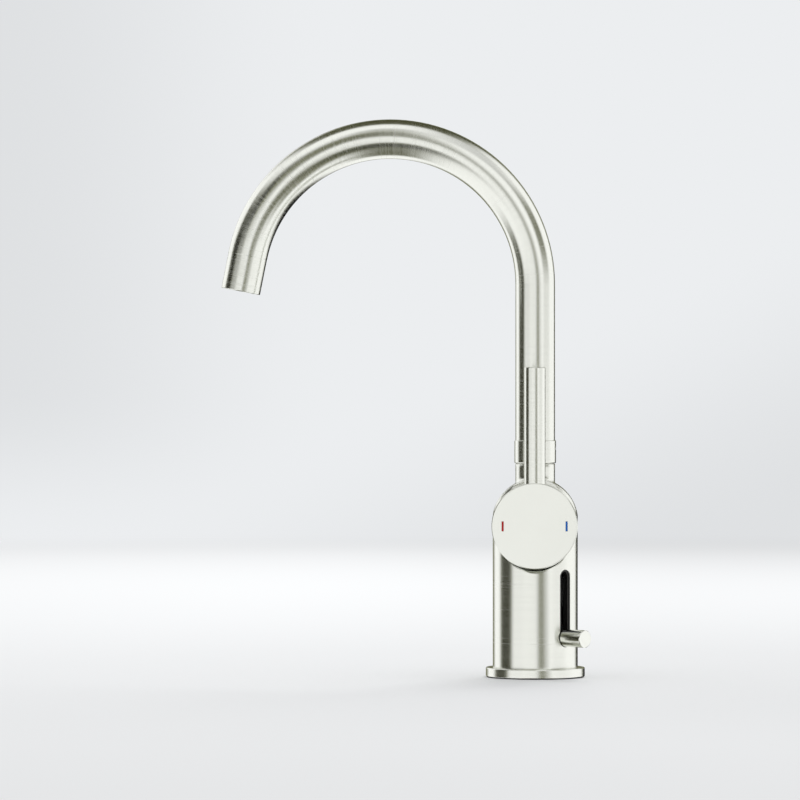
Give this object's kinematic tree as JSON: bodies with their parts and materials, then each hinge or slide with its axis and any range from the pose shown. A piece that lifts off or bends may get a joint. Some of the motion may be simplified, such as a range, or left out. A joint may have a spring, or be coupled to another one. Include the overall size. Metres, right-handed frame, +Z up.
{
  "type": "single-lever mixer tap",
  "caption": "Tall single-lever mixer with a side disc handle and upright rod lever, a swivelling arc spout and a sliding shut-off knob for an appliance outlet.",
  "frame": {"origin": "centre of the round base on the deck, where the body's axis meets the underside of the base seal", "axes": "+Z up along the body and the spout's riser; the spout reaches towards -X at rest; the disc handle faces -Y"},
  "size_m": [0.2246, 0.068, 0.3386],
  "materials": {
    "nickel_body": "brushed nickel on a cast brass body",
    "nickel_spout": "brushed nickel on a drawn tube",
    "nickel_handle": "brushed nickel",
    "nickel_trim": "brushed nickel",
    "steel": "turned stainless steel",
    "brass": "machined brass",
    "rubber": "matt black rubber",
    "black_plastic": "matt black plastic",
    "white_plastic": "white plastic",
    "grey_plastic": "grey plastic",
    "ceramic": "lapped ceramic",
    "red_mark": "red enamel",
    "blue_mark": "blue enamel"
  },
  "bodies": {
    "mixer_body": {"body": "nickel_body", "base_ring": "nickel_trim", "base_seal": "rubber", "spout_washer": "white_plastic", "spout_stop_screw": "steel", "slot_liner": "black_plastic", "valve_insert": "brass", "valve_insert_seals": "rubber", "valve_fixed_disc": "ceramic", "valve_bonnet": "brass", "cartridge_base": "black_plastic", "cartridge_port_seals": "rubber", "cartridge_case": "white_plastic", "cartridge_fixed_disc": "ceramic", "cartridge_nut": "brass", "limit_ring": "white_plastic", "nut_cover": "nickel_trim"},
    "spout": {"spout_pipe": "nickel_spout", "spout_collar": "nickel_trim", "spout_spigot": "brass", "spout_seals": "rubber", "spout_guide_rings": "white_plastic", "aerator_housing": "nickel_trim", "aerator_insert": "grey_plastic", "aerator_seal": "rubber"},
    "turret": {"cartridge_turret": "white_plastic", "stem_pin": "steel"},
    "handle": {"cartridge_stem": "steel", "handle_cap": "nickel_handle", "lever_rod": "nickel_handle", "lever_stud": "steel", "hot_mark": "red_mark", "cold_mark": "blue_mark"},
    "disc_slide": {"disc_carrier": "grey_plastic", "cartridge_moving_disc": "ceramic"},
    "shutoff_slider": {"shutoff_knob": "nickel_handle", "shutoff_pin": "steel", "shutoff_shoe": "black_plastic"},
    "shutoff_valve": {"shutoff_cam": "grey_plastic", "valve_spindle": "brass", "valve_moving_disc": "ceramic", "spindle_clip": "steel"}
  },
  "joints": [
    {"name": "spout_swivel", "type": "hinge", "parent": "mixer_body", "child": "spout", "pos_m": [0, 0, 0.12], "axis": [0, 0, 1], "range_deg": [-60, 60]},
    {"name": "temperature_turn", "type": "hinge", "parent": "mixer_body", "child": "turret", "pos_m": [0, -0.021, 0.0922], "axis": [0, 1, 0], "range_deg": [-45, 45]},
    {"name": "flow_tilt", "type": "hinge", "parent": "turret", "child": "handle", "pos_m": [0, -0.021, 0.0922], "axis": [1, 0, 0], "range_deg": [0, 10]},
    {"name": "disc_stroke", "type": "slide", "parent": "turret", "child": "disc_slide", "axis": [0, 0, 1], "range_m": [0, 0.0028]},
    {"name": "shutoff_slide", "type": "slide", "parent": "mixer_body", "child": "shutoff_slider", "axis": [0, 0, 1], "range_m": [0, 0.0368]},
    {"name": "shutoff_turn", "type": "hinge", "parent": "mixer_body", "child": "shutoff_valve", "pos_m": [0.00394, -0.00384, 0.025], "axis": [0, 0, 1], "range_deg": [-90, 0]}
  ],
  "couplings": [
    {"joint": "disc_stroke", "follows": "flow_tilt", "m_per_rad": 0.016},
    {"joint": "shutoff_turn", "follows": "shutoff_slide", "rad_per_m": -42.685}
  ]
}
